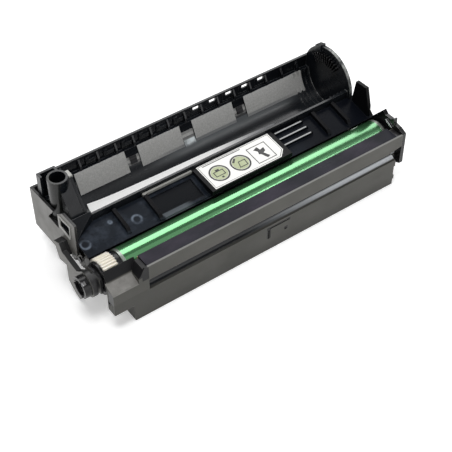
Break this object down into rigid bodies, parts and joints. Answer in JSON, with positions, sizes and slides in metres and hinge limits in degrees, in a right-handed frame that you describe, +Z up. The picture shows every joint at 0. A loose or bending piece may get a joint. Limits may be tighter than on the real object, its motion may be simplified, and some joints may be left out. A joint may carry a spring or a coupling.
{
  "type": "laser printer drum unit",
  "caption": "Open black frame of a laser printer drum unit: toner bay at the back, green photoconductor drum with cream gear at the front, rollers geared to it, and a labelled cover.",
  "frame": {"origin": "middle of the footprint, on the surface that the unit rests on", "axes": "+X along the drum from its driven end to its free end, +Y from the waste toner box to the toner bay, +Z up"},
  "size_m": [0.292, 0.1198, 0.0838],
  "materials": {
    "black_plastic": "satin moulded plastic",
    "drum_coating": "glossy green photoconductor on aluminium",
    "cream_plastic": "natural acetal",
    "steel": "plated steel",
    "black_rubber": "conductive rubber",
    "blade_rubber": "polyurethane blade",
    "foam": "conductive foam",
    "label_white": "printed label"
  },
  "bodies": {
    "frame": {"waste_toner_box": "black_plastic", "cleaning_blade_holder": "steel", "cleaning_blade": "blade_rubber", "charge_bearing_left": "black_plastic", "charge_bearing_right": "black_plastic", "charge_spring_left": "steel", "charge_spring_right": "steel", "doctor_blade_holder": "steel", "doctor_blade": "steel", "developer_frame": "black_plastic", "developer_cover": "black_plastic", "label": "label_white", "toner_bay": "black_plastic", "bay_clip_left": "steel", "bay_clip_right": "steel", "left_end_cover": "black_plastic", "latch_bracket": "black_plastic", "drum_bearing_arm": "black_plastic", "gear_collar": "black_plastic", "right_end_cover": "black_plastic", "earth_contact": "steel", "charge_contact": "steel"},
    "drum": {"drum_tube": "drum_coating", "drum_gear": "cream_plastic", "drum_left_flange": "black_plastic", "drum_right_flange": "black_plastic", "drum_shaft": "steel", "drive_coupler": "black_plastic"},
    "developer": {"developer_roller": "black_rubber", "developer_shaft": "steel", "developer_gear": "cream_plastic"},
    "supply": {"supply_roller": "foam", "supply_shaft": "steel", "supply_gear": "cream_plastic"},
    "agitator": {"agitator": "black_plastic", "agitator_gear": "cream_plastic"},
    "charger": {"charge_roller": "black_rubber", "charge_shaft": "steel"}
  },
  "joints": [
    {"name": "drum_spin", "type": "hinge", "parent": "frame", "child": "drum", "pos_m": [0, -0.0339, 0.032], "axis": [1, 0, 0], "continuous": true},
    {"name": "developer_spin", "type": "hinge", "parent": "frame", "child": "developer", "pos_m": [0, -0.01287, 0.02219], "axis": [1, 0, 0], "continuous": true},
    {"name": "supply_spin", "type": "hinge", "parent": "frame", "child": "supply", "pos_m": [0, 0.00183, 0.01826], "axis": [1, 0, 0], "continuous": true},
    {"name": "agitator_spin", "type": "hinge", "parent": "frame", "child": "agitator", "pos_m": [0, 0.01445, 0.01603], "axis": [1, 0, 0], "continuous": true},
    {"name": "charger_spin", "type": "hinge", "parent": "frame", "child": "charger", "pos_m": [0, -0.0445, 0.01364], "axis": [1, 0, 0], "continuous": true}
  ],
  "couplings": [
    {"joint": "developer_spin", "follows": "drum_spin", "ratio": -1.6364},
    {"joint": "supply_spin", "follows": "drum_spin", "ratio": 2.25},
    {"joint": "agitator_spin", "follows": "drum_spin", "ratio": -2.25},
    {"joint": "charger_spin", "follows": "drum_spin", "ratio": -2.5}
  ]
}
